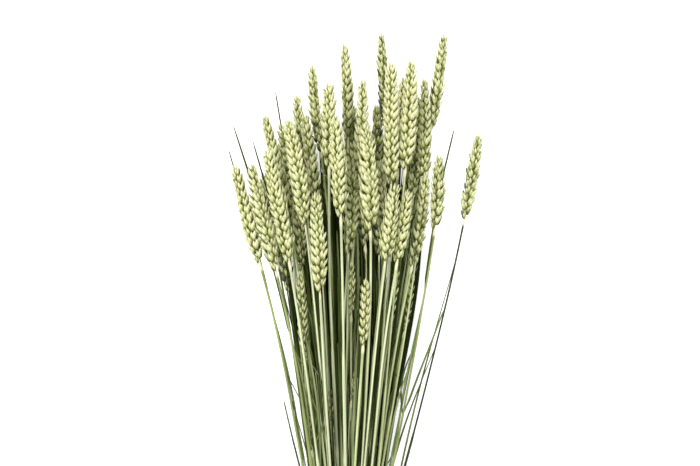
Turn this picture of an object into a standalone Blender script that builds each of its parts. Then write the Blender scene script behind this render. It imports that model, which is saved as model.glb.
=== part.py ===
"""Bunch of unripe wheat ears on long stems, tied with twine near the cut ends and lying on a surface.

Metres, +Z up. The stems lie along Y with the ears at +Y. The bunch rests on the tie and its lowest ears.
Each stalk is one grown piece: a stem, its ear of two alternate rows of spikelets, and on some a leaf blade.
"""

import math
import random

import bmesh
import bpy
import numpy as np
from mathutils import Vector

MM = 0.001
COLLECTION = "wheat_bunch"

# The bunch along its length, in mm. Heights run from the cut ends, and a drop runs down from the head line.
HEAD_LINE = 711.0
TIE_LOW = 43.0
TIE_HIGH = 67.0
FAN_START = 73.0
FAN_EASE = 16.0
TIE_MIDDLE_X = -5.0
STEM_LEAN_SHARE = 0.5
PUFF = 0.5
PUFF_REACH = 70.0
CUT_SPREAD = 1.16
CUT_RISE_SHARE = 0.5
CUT_UNEVEN = 5.0

# The bunch across its length, in mm. Depth layers run from 1 at the upper side to -1 at the underside.
FULL_DEPTH_HEIGHT = 500.0
EAR_MIDDLE_Z = 53.0
EAR_HALF_DEPTH = 44.0
HALF_WIDTH = 135.0
RIM_DEPTH_SHARE = 0.1
STEM_RISE_LIMIT = 1.12
CLEARANCE = 0.95
PRESS = 0.35

STEM_RADIUS = 1.35
SLOT_PITCH = 3.2
SLOT_ROW = 3.15
SLOT_CENTRE_X = 0.3
STEM_RING_STEP = 54.0
STEM_TOP_BELOW_EAR = 9.0
COLLAR_BELOW_EAR = 3.0
COLLAR_RADIUS = 2.1

# An ear: how it swells from its base, tapers to its tip, and turns about its own axis from stalk to stalk.
SPIKELET_PITCH = 15.0
LEAST_SPIKELETS = 4
EAR_COLUMNS = 6
EAR_THICKNESS = 0.84
NOTCH = 0.64
SCALE_LIFT = 0.78
BASE_GIRTH = 0.6
SWELL_RATE = 3.0
TAPER_START = 0.5
TAPER = 0.5
TAPER_CURVE = 1.4
ROLL = math.radians(34.0)
ROLL_STEP = 2.4
AXIS_REACH = 10.0
EAR_ROOM = (-0.1, 1.04)

BLADE_THICKNESS = 0.9
BLADE_TIP_WIDTH = 1.3
BLADE_ROOT_WIDTH = 1.8
BLADE_WIDEST = 0.3
BLADE_TAPER_CURVE = 1.3
BLADE_RINGS = (0.0, 0.1, 0.3, 0.5, 0.75, 1.0)
BLADE_ROOM = (0.03, 1.02)
BLADE_ROOM_ABOVE = 0.15
BLADE_PATH_END = 1.15
BLADE_DEPTH_X_SHARE = 0.7
OWN_STEM_SHARE = 0.3

TWINE_TURNS = 5
TIE_SIDES = 20
TIE_WALL = 2.3
TIE_GAP = 0.6
TWINE_GROOVE = 0.7
TWINE_CREST = (0.28, 0.72)
STEM_BELOW_TIE = 4.0

# Settling: how far strands that crowd each other move apart in a round, and how strongly they return.
PLANE_STEP = 9.0
SPLINE_STEP = 95.0
SETTLE_ROUNDS = 800
PUSH = 0.5
MOST_PUSH_UP = 4.0
MOST_PUSH_ASIDE = 3.0
UP_SHARE = 0.6
FREE_ASIDE_SHARE = 0.22
HELD_ASIDE_SHARE = 0.05
RETURN_ASIDE = 0.06
RETURN_UP = 0.03
RANK_STEP = 1e-5

UPPER, UPPER_MIDDLE, MIDDLE, LOWER_MIDDLE, LOWER = 1.0, 0.72, 0.38, 0.06, -0.32

# Ears that show from the upper side: base x, base drop, tip x, tip drop, sideways bow, width and layer.
EARS = [
    (-89, 262, -114, 168, -1.5, 13, UPPER_MIDDLE),
    (-73, 270, -97, 166, -3, 14, UPPER),
    (-60, 262, -81, 152, -0.5, 15, UPPER),
    (-44, 224, -61, 122, 0.5, 15, UPPER),
    (-30, 290, -34, 196, 0, 14, UPPER),
    (-9, 217, -14, 122, 0.5, 15, UPPER),
    (21, 230, 15, 126, 0, 17, UPPER),
    (41, 184, 41, 66, 0, 14.5, 0.86),
    (55, 169, 61, 65, 1, 15, 0.86),
    (35, 259, 45, 186, 0, 15, UPPER),
    (46, 262, 58, 193, 1, 12.5, UPPER),
    (61, 266, 76, 178, 2.5, 12, MIDDLE),
    (115, 218, 129, 136, 0, 12, MIDDLE),
    (85, 228, 89, 157, 1, 12.5, MIDDLE),
    (81, 130, 94, 36, 0.5, 12, MIDDLE),
    (74, 185, 75, 80, 0.5, 11.5, MIDDLE),
    (63, 199, 70, 100, -0.5, 11, LOWER_MIDDLE),
    (36, 125, 32, 33, -1, 10.5, LOWER),
    (-2, 140, -5, 45, 0.5, 11.5, LOWER_MIDDLE),
    (-2, 254, -2, 150, 4, 12, MIDDLE),
    (8, 178, 13, 82, 1, 12, MIDDLE),
    (-21, 166, -21, 85, 1, 14, UPPER_MIDDLE),
    (-29, 150, -37, 67, -2.5, 11, LOWER_MIDDLE),
    (-33, 203, -45, 116, 0, 12, MIDDLE),
    (-45, 185, -53, 98, 0, 11.5, LOWER_MIDDLE),
    (-54, 215, -69, 124, 0, 11.5, LOWER_MIDDLE),
    (-62, 208, -85, 117, -0.5, 11.5, MIDDLE),
    (-49, 270, -53, 185, 0, 12, LOWER_MIDDLE),
    (-46, 355, -50, 272, 1, 9.5, MIDDLE),
    (16, 246, 11, 165, -1.5, 12, LOWER_MIDDLE),
    (36, 245, 30, 165, -1, 11, MIDDLE),
    (31, 188, 27, 105, -1, 12, LOWER),
    (30, 254, 25, 168, -1, 12, LOWER),
    (7, 200, 3, 106, -0.5, 13, LOWER),
    (48, 172, 55, 78, -0.5, 12.5, LOWER),
    (-59, 238, -71, 144, -1, 12.5, LOWER),
    (-72, 262, -86, 174, -2, 12.5, LOWER),
    (1, 317, 2, 263, 0, 7, MIDDLE),
    (13, 344, 16, 281, 0.5, 9.5, UPPER),
    (41, 327, 47, 270, 0, 8, MIDDLE),
    (54, 331, 63, 276, 1, 7, LOWER_MIDDLE),
    (-37, 455, -44, 403, -0.5, 5.5, MIDDLE),
    (-17, 431, -21, 389, 0, 5, MIDDLE),
    (0, 409, 4, 374, 0, 4.5, MIDDLE),
]

# Ears under the ones that show, placed by a seeded rule.
UNDER_EARS = 15
UNDER_SEED = 11
UNDER_HALF_SPREAD = 74.0
UNDER_SPREAD_PLAY = 3.0
UNDER_TIP_DROPS = (162.0, 118.0)
UNDER_DROP_PLAY = 12.0
UNDER_EDGE_DROP = 22.0
UNDER_LENGTH = 98.0
UNDER_LENGTH_PLAY = 8.0
UNDER_BOW_PLAY = 1.5
UNDER_BASE_SHARE = 0.84
UNDER_WIDTH = 13.0
UNDER_TOP, UNDER_BOTTOM = -0.6, -1.0

# Leaf blades: stalk, drop of the root, tip x, tip drop, sideways bow, width and layer.
BLADES = [
    (2, 392, -116.5, 124, 5, 4.6, 0.3),
    (36, 372, -97, 141, 4, 4.2, 0.1),
    (1, 330, -122, 150, 3, 3.6, 0.2),
    (26, 348, -75, 90, 3, 3.8, 0.0),
    (14, 352, 104, 129, -4, 3.8, 0.2),
    (14, 440, 96.5, 309, -4, 4.2, 0.7),
    (1, 560, -67, 402, 2, 4.0, 0.4),
    (6, 420, -13, 230, 0, 5.5, 0.85),
    (31, 430, 27, 278, 1, 5.0, 0.4),
    (21, 440, 10, 276, 0, 4.5, 0.42),
]

# Broad blades on the under stalks that lie clear of the surface: height of the root, length and width.
UNDER_BLADE_ROOT = 190.0
UNDER_BLADE_LENGTH = 250.0
UNDER_BLADE_WIDTH = 8.0
UNDER_BLADE_STAGGER = 8.0
UNDER_ROOT_STEPS = 5
UNDER_TIP_STEPS = 3
UNDER_BLADE_X_SHARE = 0.92
UNDER_BLADE_LEAN = 5.0


class Ear:
    """One stalk's ear: where it begins and ends, its bow, width, layer and roll."""

    def __init__(self, number, row):
        base_x, base_drop, tip_x, tip_drop, bow, width, layer = row
        self.number = number
        self.base = (base_x, HEAD_LINE - base_drop)
        self.tip = (tip_x, HEAD_LINE - tip_drop)
        self.bow = bow
        self.width = width
        self.layer = layer
        self.roll = ROLL * math.sin(ROLL_STEP * number)
        self.length = math.dist(self.base, self.tip)

    def x_at(self, height):
        """Sideways place of the ear's axis at a height, bowed as a parabola."""
        along = (height - self.base[1]) / (self.tip[1] - self.base[1])
        return self.base[0] + along * (self.tip[0] - self.base[0]) + 4 * self.bow * along * (1 - along)

    def slope_at_base(self):
        """How far the axis leans sideways for each mm of height, where the stem meets the ear."""
        rise = self.tip[1] - self.base[1]
        return (self.tip[0] - self.base[0] + 4 * self.bow) / rise

    def middle(self):
        """Height and depth place of the middle of the ear."""
        height = (self.base[1] + self.tip[1]) / 2
        if self.layer <= UNDER_BOTTOM:
            return height, self.sole() - PRESS
        return height, depth_place(self.x_at(height), height, self.layer)

    def rise_rate(self):
        """How fast its stem rises above the tie, which keeps the strands in one order from tie to ears."""
        height, place = self.middle()
        return (place - tie_middle_z()) / fan(height) + RANK_STEP * self.number

    def girth(self, along):
        """Share of the full width at a place from 0 at the base to 1 at the tip."""
        swell = min(1.0, BASE_GIRTH + SWELL_RATE * along)
        taper = 1.0 - TAPER * max(0.0, (along - TAPER_START) / (1 - TAPER_START)) ** TAPER_CURVE
        return swell * taper

    def sole(self):
        """How far its outermost column reaches down from its axis."""
        wide, deep = math.sin(self.roll), EAR_THICKNESS * math.cos(self.roll)
        turns = [2 * math.pi * column / EAR_COLUMNS for column in range(EAR_COLUMNS)]
        return self.width / 2 * max(wide * math.cos(turn) + deep * math.sin(turn) for turn in turns)

    def half_sizes(self):
        """Half of the room it takes along X and Z, with its roll."""
        wide, deep = self.width / 2, self.width * EAR_THICKNESS / 2
        across = math.hypot(wide * math.cos(self.roll), deep * math.sin(self.roll))
        up = math.hypot(wide * math.sin(self.roll), deep * math.cos(self.roll))
        return across, up


def under_rows():
    """Rows for the ears of the underside, spread evenly with a little seeded unevenness."""
    draw = random.Random(UNDER_SEED)
    rows = []
    for index in range(UNDER_EARS):
        side = 2 * index / (UNDER_EARS - 1) - 1
        tip_x = UNDER_HALF_SPREAD * side + draw.uniform(-UNDER_SPREAD_PLAY, UNDER_SPREAD_PLAY)
        tip_drop = UNDER_TIP_DROPS[index % 2] + draw.uniform(-UNDER_DROP_PLAY, UNDER_DROP_PLAY)
        tip_drop += UNDER_EDGE_DROP * side * side
        length = UNDER_LENGTH + draw.uniform(-UNDER_LENGTH_PLAY, UNDER_LENGTH_PLAY)
        layer = UNDER_TOP if index % 2 else UNDER_BOTTOM
        bow = draw.uniform(-UNDER_BOW_PLAY, UNDER_BOW_PLAY)
        base_x = tip_x * UNDER_BASE_SHARE
        rows.append((base_x, tip_drop + length, tip_x, tip_drop, bow, UNDER_WIDTH, layer))
    return rows


def depth_place(x, height, layer):
    """Height above the surface of a strand at a layer, in a bunch that is round in section and widens."""
    tie_radius = bundle_radius()
    share = min(1.0, max(0.0, (height - TIE_HIGH) / (FULL_DEPTH_HEIGHT - TIE_HIGH)))
    middle = tie_middle_z() + share * (EAR_MIDDLE_Z - tie_middle_z())
    half_depth = tie_radius + share * (EAR_HALF_DEPTH - tie_radius)
    half_width = tie_radius + share * (HALF_WIDTH - tie_radius)
    return middle + layer * half_depth * math.sqrt(max(RIM_DEPTH_SHARE, 1 - (x / half_width) ** 2))


def slot_grid(count):
    """Places of the stems in the tie, in staggered rows from the top: (x, z) from the middle."""
    reach = int(math.sqrt(count)) + 2
    places = []
    for row in range(-reach, reach + 1):
        for column in range(-reach, reach + 1):
            x = (column + 0.5 * (row % 2)) * SLOT_PITCH
            z = row * SLOT_ROW
            places.append((round(math.hypot(x - SLOT_CENTRE_X, z), 6), z, x))
    nearest = sorted(places)[:count]
    return sorted(((x, z) for _, z, x in nearest), key=lambda place: (-place[1], place[0]))


def bundle_radius():
    """Radius of the packed stems in the tie."""
    return max(math.hypot(x, z) for x, z in slot_grid(len(EARS) + UNDER_EARS)) + STEM_RADIUS


def tie_outer_radius():
    return bundle_radius() + TIE_GAP + TIE_WALL


def tie_middle_z():
    return tie_outer_radius() - PRESS


def assign_slots(ears):
    """Gives each stalk its slot: the higher its ear, the higher its row, and sideways in the ears' order."""
    ranked = sorted(ears, key=lambda ear: -ear.rise_rate())
    slots = slot_grid(len(ears))
    rows = {}
    for slot in slots:
        rows.setdefault(round(slot[1], 6), []).append(slot)
    given, begin = {}, 0
    for height in sorted(rows, reverse=True):
        row = sorted(rows[height])
        members = sorted(ranked[begin:begin + len(row)], key=lambda ear: ear.base[0] / fan(ear.base[1]))
        begin += len(row)
        for ear, slot in zip(members, row):
            given[ear.number] = (slot[0] + TIE_MIDDLE_X, slot[1] + tie_middle_z())
    return given


def fan(height):
    """How far a strand has fanned out above the tie, easing in from zero."""
    rise = max(0.0, height - FAN_START)
    return rise * rise / (2 * FAN_EASE) if rise < FAN_EASE else rise - FAN_EASE / 2


def spline_bump(distance):
    """The cubic B-spline, one at its middle and zero two steps away."""
    size = abs(distance)
    if size < 1:
        return 1 - 1.5 * size * size * (1 - size / 2)
    return 0.25 * max(0.0, 2 - size) ** 3


class Strands:
    """Every stem, ear and blade as its place (x, z) in planes across the bunch, settled until none touch."""

    def __init__(self, ears):
        self.ears = ears
        self.planes = np.arange(0.0, HEAD_LINE - 20, PLANE_STEP)
        self.slots = assign_slots(ears)
        self.starts, self.across, self.up, self.ranks, self.soles = [], [], [], [], []
        self.wanted_x, self.wanted_z, self.takes_room, self.free = [], [], [], []
        for ear in ears:
            self.add_stalk(ear)
        self.blades = []
        for row in BLADES:
            self.add_blade(*row)
        for ear in ears:
            if ear.layer == UNDER_TOP:
                self.add_under_blade(ear)
        self.settle()

    def add_strand(self, start, x_path, z_path, across, up, rank, takes_room, free, sole_share=1.0):
        self.starts.append(start)
        self.soles.append([sole_share * size for size in up])
        self.wanted_x.append(x_path)
        self.wanted_z.append(z_path)
        self.across.append(across)
        self.up.append(up)
        self.ranks.append(rank)
        self.takes_room.append(takes_room)
        self.free.append(free)

    def add_stalk(self, ear):
        slot_x, slot_z = self.slots[ear.number]
        base_x, base_height = ear.base
        reach = fan(base_height)
        chord = (base_x - slot_x) / reach
        lean = chord + STEM_LEAN_SHARE * (ear.slope_at_base() - chord)
        middle, ear_z = ear.middle()
        half_across, half_up = ear.half_sizes()
        x_path, z_path, across, up, takes_room = [], [], [], [], []
        for height in self.planes:
            along = fan(height) / reach
            if height <= base_height:
                bend = (lean - chord) * reach * along * along * (along - 1)
                loosened = (1 - math.exp(-fan(height) / PUFF_REACH)) * (1 - along)
                puff = PUFF * (slot_x - TIE_MIDDLE_X) * loosened
                x_path.append(slot_x + chord * reach * along + bend + puff)
            else:
                x_path.append(ear.x_at(height))
            z_path.append(slot_z + (ear_z - slot_z) * min(STEM_RISE_LIMIT, fan(height) / fan(middle)))
            place = (height - base_height) / (ear.tip[1] - base_height)
            inside = EAR_ROOM[0] <= place <= EAR_ROOM[1]
            girth = ear.girth(min(1.0, max(0.0, place))) if inside else 0.0
            across.append(max(STEM_RADIUS, half_across * girth))
            up.append(max(STEM_RADIUS, half_up * girth))
            takes_room.append(FAN_START <= height <= ear.tip[1] + PLANE_STEP)
        under = ear.number > len(EARS)
        sole_share = ear.sole() / half_up
        rate = ear.rise_rate()
        self.add_strand((slot_x, slot_z), x_path, z_path, across, up, rate, takes_room, under, sole_share)

    def add_blade(self, stalk, root_drop, tip_x, tip_drop, bow, width, layer):
        root, tip = HEAD_LINE - root_drop, HEAD_LINE - tip_drop
        tip_z = depth_place(tip_x * BLADE_DEPTH_X_SHARE, (root + tip) / 2, layer)
        self.place_blade(stalk, root, tip, tip_x, tip_z, bow, width, False)

    def add_under_blade(self, ear):
        root = UNDER_BLADE_ROOT + UNDER_BLADE_STAGGER * (ear.number % UNDER_ROOT_STEPS)
        shorter = UNDER_TIP_STEPS * UNDER_BLADE_STAGGER * (ear.number % UNDER_TIP_STEPS)
        tip = root + UNDER_BLADE_LENGTH - shorter
        tip_x = UNDER_BLADE_X_SHARE * ear.base[0] + math.copysign(UNDER_BLADE_LEAN, ear.base[0])
        tip_z = depth_place(tip_x, tip, ear.layer)
        self.place_blade(ear.number, root, tip, tip_x, tip_z, 0.0, UNDER_BLADE_WIDTH, True)

    def place_blade(self, stalk, root, tip, tip_x, tip_z, bow, width, free):
        stem_x = np.interp(root, self.planes, self.wanted_x[stalk - 1])
        stem_z = np.interp(root, self.planes, self.wanted_z[stalk - 1])
        x_path, z_path, across, up, takes_room = [], [], [], [], []
        for height in self.planes:
            along = min(BLADE_PATH_END, (height - root) / (tip - root))
            if along <= 0:
                x_path.append(np.interp(height, self.planes, self.wanted_x[stalk - 1]))
                z_path.append(np.interp(height, self.planes, self.wanted_z[stalk - 1]))
            else:
                x_path.append(stem_x + along * (tip_x - stem_x) + 4 * bow * along * (1 - along))
                z_path.append(stem_z + along * (tip_z - stem_z))
            across.append(blade_width(min(1.0, max(0.0, along)), width) / 2)
            up.append(BLADE_THICKNESS / 2 + BLADE_ROOM_ABOVE)
            takes_room.append(BLADE_ROOM[0] < along <= BLADE_ROOM[1])
        self.blades.append((stalk, root, tip, width, len(self.starts)))
        rank = (tip_z - tie_middle_z()) / fan(tip) + RANK_STEP * len(self.blades)
        self.add_strand(self.starts[stalk - 1], x_path, z_path, across, up, rank, takes_room, free)

    def basis(self):
        """Smooth shapes for a strand above the tie: B-splines times the fan, so its slot holds still."""
        middles = np.arange(FAN_START - SPLINE_STEP, self.planes[-1] + 2 * SPLINE_STEP, SPLINE_STEP)
        columns = [[fan(h) * spline_bump((h - m) / SPLINE_STEP) for h in self.planes] for m in middles]
        return np.array(columns).T

    def settle(self):
        """Moves crowded strands apart, keeping each smooth, in its slot and clear of the surface."""
        start = np.array(self.starts)
        shapes = self.basis()
        smooth = shapes @ np.linalg.pinv(shapes, rcond=1e-9)
        want_x, want_z = np.array(self.wanted_x), np.array(self.wanted_z)
        x_zero, z_zero = start[:, 0:1], start[:, 1:2]
        across, up, takes_room = np.array(self.across), np.array(self.up), np.array(self.takes_room)
        rank, soles = np.array(self.ranks), np.array(self.soles)
        above = np.sign(rank[:, None] - rank[None, :])[:, :, None]
        both = takes_room[:, None, :] & takes_room[None, :, :]
        both &= ~np.eye(len(rank), dtype=bool)[:, :, None]
        self.part_own_blades(both)
        wide = across[:, None, :] + across[None, :, :] + CLEARANCE
        tall = up[:, None, :] + up[None, :, :] + CLEARANCE
        side_share = np.where(np.array(self.free), FREE_ASIDE_SHARE, HELD_ASIDE_SHARE)[:, None]
        x = x_zero + (want_x - x_zero) @ smooth.T
        z = z_zero + (want_z - z_zero) @ smooth.T
        holders = [blade[0] - 1 for blade in self.blades]
        leaves = [blade[4] for blade in self.blades]
        leave = self.leaving_shares()
        for turn in range(SETTLE_ROUNDS):
            late = turn / SETTLE_ROUNDS
            gap_x, gap_z = x[:, None, :] - x[None, :, :], z[:, None, :] - z[None, :, :]
            beside = np.clip(1 - (gap_x / wide) ** 2, 0, 1)
            short = np.where(both, tall * np.sqrt(beside) - above * gap_z, 0)
            short = np.where((short > 0) & (beside > 0), short, 0)
            z_move = PUSH * (above * np.minimum(short, MOST_PUSH_UP)).sum(axis=1)
            level = np.clip(1 - (gap_z / tall) ** 2, 0, 1)
            crowd = np.where(both & (level > 0), wide * np.sqrt(level) - np.abs(gap_x), 0)
            pushed = np.sign(gap_x) * np.clip(crowd, 0, MOST_PUSH_ASIDE)
            x_move = PUSH * pushed.sum(axis=1) * side_share
            floor = np.where(takes_room, np.maximum(0, soles - PRESS - z), 0)
            np.add.at(x_move, holders, (1 - leave) * x_move[leaves])
            np.add.at(z_move, holders, (1 - leave) * z_move[leaves])
            hold = RETURN_UP * (1 - late)
            x = x + x_move + RETURN_ASIDE * (want_x - x)
            z = z + UP_SHARE * z_move + floor + hold * (want_z - z)
            x = x_zero + (x - x_zero) @ smooth.T
            z = z_zero + (z - z_zero) @ smooth.T
            x[leaves] = x[holders] + leave * (x[leaves] - x[holders])
            z[leaves] = z[holders] + leave * (z[leaves] - z[holders])
        self.x, self.z = x, z

    def leaving_shares(self):
        """How far each blade has left its stem, from 0 at its root to 1, in every plane."""
        shares = []
        for _, root, tip, _, _ in self.blades:
            shares.append(np.clip((self.planes - root) / (OWN_STEM_SHARE * (tip - root)), 0, 1))
        return np.array(shares)

    def part_own_blades(self, both):
        """A blade lies along its own stem for its first stretch, so the two don't push each other there."""
        for stalk, root, tip, _, strand in self.blades:
            near = self.planes < root + OWN_STEM_SHARE * (tip - root)
            both[strand, stalk - 1, near] = False
            both[stalk - 1, strand, near] = False

    def at(self, strand, height):
        """Centre of a strand at a height, with the cut ends spread a little."""
        x = np.interp(height, self.planes, self.x[strand])
        z = np.interp(height, self.planes, self.z[strand])
        slot_x, slot_z = self.starts[strand]
        if height < TIE_LOW:
            spread = 1 + (CUT_SPREAD - 1) * (TIE_LOW - height) / TIE_LOW
            x = TIE_MIDDLE_X + (slot_x - TIE_MIDDLE_X) * spread
            z = tie_middle_z() + (slot_z - tie_middle_z()) * (1 + (spread - 1) * CUT_RISE_SHARE)
        return Vector((x, height, z))


def blade_width(along, width):
    """Width of a blade from its root to its tip: narrow at the stem, widest in its lower half, then less."""
    if along < BLADE_WIDEST:
        return BLADE_ROOT_WIDTH + (width - BLADE_ROOT_WIDTH) * math.sin(along / BLADE_WIDEST * math.pi / 2)
    taper = ((along - BLADE_WIDEST) / (1 - BLADE_WIDEST)) ** BLADE_TAPER_CURVE
    return BLADE_TIP_WIDTH + (width - BLADE_TIP_WIDTH) * (1 - taper)


def diamond(centre, radius):
    """Four corners round a point, in a plane across the bunch."""
    return [centre + Vector(offset) * radius for offset in ((1, 0, 0), (0, 0, 1), (-1, 0, 0), (0, 0, -1))]


def ear_rings(ear, strands):
    """Rings of an ear: its left and right columns stand out in turn, each lifted to hang over a notch."""
    levels = max(LEAST_SPIKELETS, round(ear.length / SPIKELET_PITCH))
    base, tip = ear.base[1], ear.tip[1]
    step = 1.0 / (2 * levels + 1)
    strand = ear.number - 1
    rings = []
    for ring in range(2 * levels):
        points = []
        for column in range(EAR_COLUMNS):
            angle = 2 * math.pi * column / EAR_COLUMNS
            side = 0 if math.cos(angle) > 0 else 1
            stands_out = (ring + side) % 2 == 0
            along = step * (ring + (SCALE_LIFT if stands_out else 0.0))
            height = base + along * (tip - base)
            centre = strands.at(strand, height)
            further = min(tip, height + AXIS_REACH)
            ahead = strands.at(strand, further) - strands.at(strand, height - AXIS_REACH)
            ahead.normalize()
            wide = Vector((math.cos(ear.roll), 0, math.sin(ear.roll)))
            wide = (wide - ahead * wide.dot(ahead)).normalized()
            deep = wide.cross(ahead) * EAR_THICKNESS
            reach = ear.width / 2 * ear.girth(along) * (1.0 if stands_out else NOTCH)
            points.append(centre + (wide * math.cos(angle) + deep * math.sin(angle)) * reach)
        rings.append(points)
    return rings, strands.at(strand, tip)


def stem_rings(ear, strands, cut):
    """Rings of a stem from its cut end, through the tie, to just under the ear."""
    strand = ear.number - 1
    top = ear.base[1] - STEM_TOP_BELOW_EAR
    count = max(2, round((top - FAN_START) / STEM_RING_STEP))
    heights = [cut, TIE_LOW - STEM_BELOW_TIE, FAN_START]
    heights += [FAN_START + (top - FAN_START) * (ring + 1) / count for ring in range(count)]
    rings = [diamond(strands.at(strand, height), STEM_RADIUS) for height in heights]
    rings.append(diamond(strands.at(strand, ear.base[1] - COLLAR_BELOW_EAR), COLLAR_RADIUS))
    return rings


def loft(rings, apex):
    """A closed body through rings of four or six corners, flat at its first ring and pointed at its apex."""
    shape = bmesh.new()
    loops = [[shape.verts.new(point * MM) for point in ring] for ring in rings]
    shape.faces.new(loops[0])
    for lower, upper in zip(loops, loops[1:]):
        join_rings(shape, lower, upper)
    point = shape.verts.new(apex * MM)
    last = loops[-1]
    for index, corner in enumerate(last):
        shape.faces.new((last[(index + 1) % len(last)], corner, point))
    bmesh.ops.recalc_face_normals(shape, faces=shape.faces)
    return shape


def join_rings(shape, lower, upper):
    """Triangles between two rings that run the same way round, stepping along whichever is behind."""
    first, second = len(lower), len(upper)
    a = b = 0
    while a < first or b < second:
        if b == second or (a < first and (a + 1) * second <= (b + 1) * first):
            shape.faces.new((lower[a % first], lower[(a + 1) % first], upper[b % second]))
            a += 1
        else:
            shape.faces.new((lower[a % first], upper[(b + 1) % second], upper[b % second]))
            b += 1


def press_on_surface(shape):
    """Flattens what would reach below the surface."""
    for vert in shape.verts:
        vert.co.z = max(0.0, vert.co.z)


def new_object(name, shape, material, collection):
    mesh = bpy.data.meshes.new(name)
    shape.to_mesh(mesh)
    shape.free()
    mesh.materials.append(material)
    made = bpy.data.objects.new(name, mesh)
    collection.objects.link(made)
    return made


def plant_material(name, colour):
    material = bpy.data.materials.new(name)
    material.use_nodes = True
    shader = material.node_tree.nodes["Principled BSDF"]
    shader.inputs["Base Color"].default_value = (*colour, 1.0)
    shader.inputs["Roughness"].default_value = 0.7
    shader.inputs["Metallic"].default_value = 0.0
    return material


def blade_shape(strands, blade):
    """A flat blade, 0.9 mm thick, from inside its stem to its tip."""
    _, root, tip, width, strand = blade
    shape = bmesh.new()
    loops = []
    for along in BLADE_RINGS:
        centre = strands.at(strand, root + along * (tip - root))
        half, thick = blade_width(along, width) / 2, BLADE_THICKNESS / 2
        corners = ((half, 0, thick), (-half, 0, thick), (-half, 0, -thick), (half, 0, -thick))
        loops.append([shape.verts.new((centre + Vector(corner)) * MM) for corner in corners])
    shape.faces.new(loops[0])
    shape.faces.new(loops[-1])
    for lower, upper in zip(loops, loops[1:]):
        join_rings(shape, lower, upper)
    bmesh.ops.recalc_face_normals(shape, faces=shape.faces)
    return shape


def fuse(target, pieces):
    """Joins blades to their stem by one Boolean union, applied, and removes them."""
    group = bpy.data.collections.new("fuse_" + target.name)
    bpy.context.scene.collection.children.link(group)
    for piece in pieces:
        group.objects.link(piece)
    union = target.modifiers.new("Fuse", "BOOLEAN")
    union.operation = "UNION"
    union.operand_type = "COLLECTION"
    union.collection = group
    union.solver = "MANIFOLD"
    bpy.context.view_layer.update()
    evaluated = target.evaluated_get(bpy.context.evaluated_depsgraph_get())
    joined = bpy.data.meshes.new_from_object(evaluated)
    target.modifiers.clear()
    target.data = joined
    for piece in pieces:
        bpy.data.objects.remove(piece)
    bpy.data.collections.remove(group)


def make_stalks(ears, strands, collection):
    draw = random.Random(UNDER_SEED + 1)
    material = plant_material("wheat_green", (0.52, 0.57, 0.30))
    stalks = []
    for ear in ears:
        cut = draw.uniform(0, CUT_UNEVEN)
        rings, apex = ear_rings(ear, strands)
        shape = loft(stem_rings(ear, strands, cut) + rings, apex)
        press_on_surface(shape)
        name = f"stalk_{ear.number:02d}"
        stalk = new_object(name, shape, material, collection)
        blades = [blade for blade in strands.blades if blade[0] == ear.number]
        pieces = [new_object(f"{name}_blade", blade_shape(strands, b), material, collection) for b in blades]
        for piece in pieces:
            collection.objects.unlink(piece)
        if pieces:
            fuse(stalk, pieces)
        stalks.append(stalk)
    return stalks


def make_tie(collection):
    """A band of twine wound side by side round the stems, pressed flat where it lies on the surface."""
    inner, outer, middle = bundle_radius() + TIE_GAP, tie_outer_radius(), tie_middle_z()
    groove = outer - TWINE_GROOVE
    turn = (TIE_HIGH - TIE_LOW) / TWINE_TURNS
    profile = [(inner, TIE_LOW), (groove, TIE_LOW)]
    for index in range(TWINE_TURNS):
        low = TIE_LOW + index * turn
        profile += [(outer, low + TWINE_CREST[0] * turn), (outer, low + TWINE_CREST[1] * turn)]
        profile.append((groove, low + turn))
    profile.append((inner, TIE_HIGH))
    shape = bmesh.new()
    half_side = math.pi / TIE_SIDES
    outward = Vector((math.cos(half_side), 0, math.sin(half_side)))
    corners = [shape.verts.new((outward * reach + Vector((0, height, 0))) * MM) for reach, height in profile]
    edges = [shape.edges.new((a, b)) for a, b in zip(corners, corners[1:] + corners[:1])]
    bmesh.ops.spin(
        shape,
        geom=corners + edges,
        cent=(0, 0, 0),
        axis=(0, 1, 0),
        angle=2 * math.pi,
        steps=TIE_SIDES,
        use_merge=True,
    )
    bmesh.ops.translate(shape, verts=shape.verts, vec=Vector((TIE_MIDDLE_X, 0, middle)) * MM)
    bmesh.ops.recalc_face_normals(shape, faces=shape.faces)
    press_on_surface(shape)
    return new_object("tie", shape, plant_material("jute_twine", (0.45, 0.33, 0.19)), collection)


def centre_on_origin(pieces):
    """Puts the origin at the middle of the bunch's box, on the surface."""
    points = [vert.co for piece in pieces for vert in piece.data.vertices]
    shift = [-(min(p[axis] for p in points) + max(p[axis] for p in points)) / 2 for axis in (0, 1)]
    for piece in pieces:
        for vert in piece.data.vertices:
            vert.co.x += shift[0]
            vert.co.y += shift[1]
        piece.data.update()


def main():
    for old in list(bpy.data.objects):
        bpy.data.objects.remove(old)
    collection = bpy.data.collections.new(COLLECTION)
    bpy.context.scene.collection.children.link(collection)
    ears = [Ear(number, row) for number, row in enumerate(EARS + under_rows(), start=1)]
    strands = Strands(ears)
    pieces = make_stalks(ears, strands, collection)
    pieces.append(make_tie(collection))
    centre_on_origin(pieces)


main()
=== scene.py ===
"""Bunch of unripe wheat ears, lying on a white table: the dressed model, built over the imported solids."""

import math
import random

import bmesh
import bpy
import numpy as np
from bpy.props import FloatProperty, FloatVectorProperty, IntProperty, PointerProperty
from mathutils import Matrix, Vector


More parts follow.
